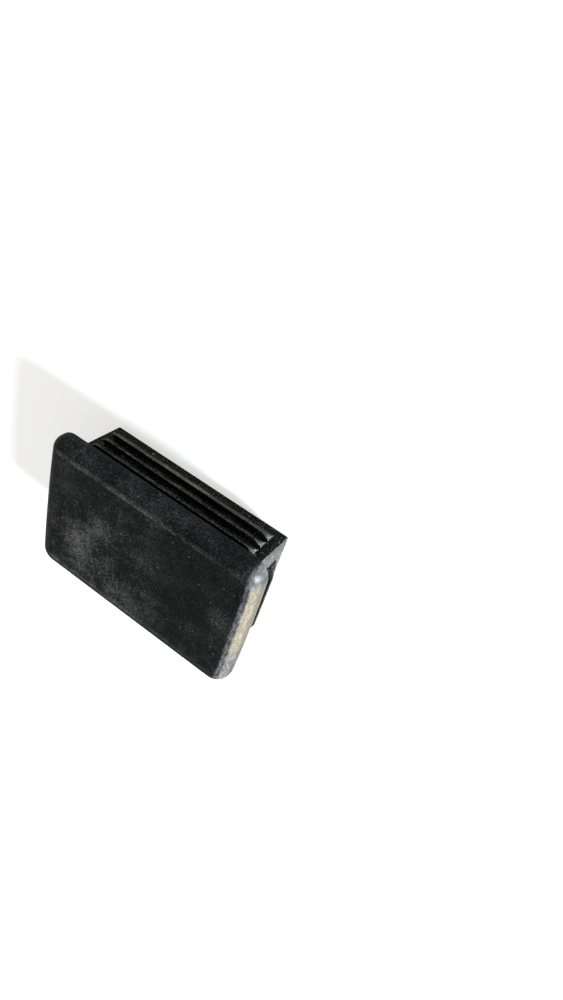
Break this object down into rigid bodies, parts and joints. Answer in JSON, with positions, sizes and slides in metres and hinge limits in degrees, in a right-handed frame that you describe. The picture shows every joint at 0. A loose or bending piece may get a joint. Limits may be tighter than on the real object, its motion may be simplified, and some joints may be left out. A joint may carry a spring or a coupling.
{
  "type": "rectangular tube end cap",
  "caption": "Push-in plastic cap for the end of a rectangular tube: a rounded head over a hollow plug with barbed fins on all sides.",
  "frame": {"origin": "centre of the plug's rear rim, which is the base that the cap stands on", "axes": "+Z along the tube's axis and out of the cap's face, X along the long side, Y along the short side"},
  "size_m": [0.06, 0.04, 0.0196],
  "materials": {
    "black_plastic": "matte moulded, lightly scuffed and dusty"
  },
  "bodies": {
    "root": {"end_cap": "black_plastic"}
  },
  "joints": []
}
